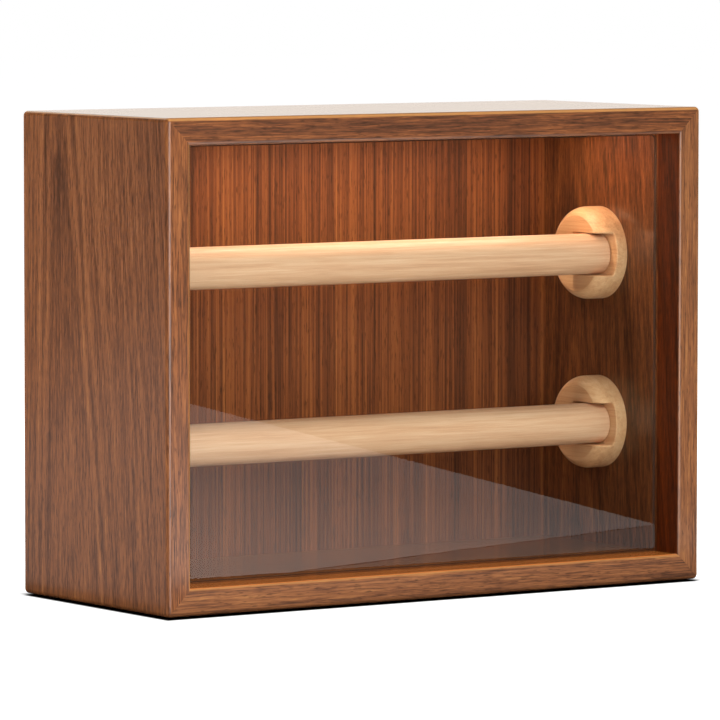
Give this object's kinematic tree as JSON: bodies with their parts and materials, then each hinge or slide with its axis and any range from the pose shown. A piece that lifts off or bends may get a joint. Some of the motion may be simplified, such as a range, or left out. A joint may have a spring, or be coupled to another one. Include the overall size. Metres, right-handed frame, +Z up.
{
  "type": "watch display case",
  "caption": "Wooden watch display case with a glass door, removable round display rods held in slotted wall brackets, and a light under its top board.",
  "frame": {"origin": "middle of the footprint, on the surface that the foot pads stand on", "axes": "+Z up, -Y towards the front and the door, +X to the right seen from the front"},
  "size_m": [0.4, 0.169, 0.3024],
  "materials": {
    "walnut_veneer": "satin lacquered straight-grained walnut veneer",
    "walnut_back_veneer": "matte walnut veneer",
    "birch_plywood": "bare plywood",
    "foot_felt": "dense brown felt",
    "turned_beech": "turned and oiled beech",
    "beech_rod": "turned and oiled beech",
    "beech_dowel": "bare beech",
    "zinc_steel": "zinc plated",
    "nickel_magnet": "nickel plated",
    "keeper_steel": "brushed stainless",
    "clear_glass": "polished float glass",
    "bronze_aluminium": "bronze anodised, satin",
    "nylon_bush": "brown nylon",
    "brown_silicone": "matt brown silicone",
    "led_aluminium": "satin anodised",
    "led_cap": "grey moulded",
    "led_circuit": "white solder mask",
    "led_phosphor": "yellow phosphor gel",
    "opal_diffuser": "opal polycarbonate",
    "cable_jacket": "dark PVC",
    "abs_black": "fine-textured ABS",
    "circuit_green": "green solder mask",
    "battery_wrap": "silver foil pouch",
    "socket_steel": "stamped steel shell",
    "switch_black": "moulded",
    "button_grey": "moulded"
  },
  "bodies": {
    "case": {"back_panel": "walnut_back_veneer", "battery_cell": "battery_wrap", "bottom_board": "walnut_veneer", "bracket_dowels": "beech_dowel", "bracket_lower_left": "turned_beech", "bracket_lower_right": "turned_beech", "bracket_screws": "zinc_steel", "bracket_upper_left": "turned_beech", "bracket_upper_right": "turned_beech", "catch_magnet": "nickel_magnet", "charge_socket": "socket_steel", "control_board": "circuit_green", "control_cover": "abs_black", "control_housing": "abs_black", "corner_spline_bottom_left": "birch_plywood", "corner_spline_bottom_right": "birch_plywood", "corner_spline_top_left": "birch_plywood", "corner_spline_top_right": "birch_plywood", "cover_screw": "zinc_steel", "door_stop": "brown_silicone", "foot_pad_back_left": "foot_felt", "foot_pad_back_right": "foot_felt", "foot_pad_front_left": "foot_felt", "foot_pad_front_right": "foot_felt", "housing_screws": "zinc_steel", "led_board": "led_circuit", "led_channel": "led_aluminium", "led_chips": "led_phosphor", "led_diffuser": "opal_diffuser", "led_end_cap_left": "led_cap", "led_end_cap_right": "led_cap", "led_lead": "cable_jacket", "led_screws": "zinc_steel", "pivot_bush_lower": "nylon_bush", "pivot_bush_upper": "nylon_bush", "side_board_left": "walnut_veneer", "side_board_right": "walnut_veneer", "tact_switch": "switch_black", "top_board": "walnut_veneer"},
    "door": {"door_glass": "clear_glass", "door_stile": "bronze_aluminium", "pivot_pin_upper": "zinc_steel", "pivot_pin_lower": "zinc_steel", "keeper_strip": "keeper_steel"},
    "upper_rod": {"upper_rod": "beech_rod", "upper_rod_magnets": "nickel_magnet"},
    "lower_rod": {"lower_rod": "beech_rod", "lower_rod_magnets": "nickel_magnet"},
    "power_button": {"power_button": "button_grey"}
  },
  "joints": [
    {"name": "door_hinge", "type": "hinge", "parent": "case", "child": "door", "pos_m": [-0.1772, -0.0601, 0.1519], "axis": [0, 0, -1], "range_deg": [0, 95]},
    {"name": "upper_rod_slide", "type": "slide", "parent": "case", "child": "upper_rod", "axis": [0, -1, 0], "range_m": [0, 0.0335]},
    {"name": "lower_rod_slide", "type": "slide", "parent": "case", "child": "lower_rod", "axis": [0, -1, 0], "range_m": [0, 0.0335]},
    {"name": "power_button_press", "type": "slide", "parent": "case", "child": "power_button", "axis": [0, -1, 0], "range_m": [0, 0.0006], "stiffness_N_per_m": 400, "springref_m": -0.0003}
  ]
}
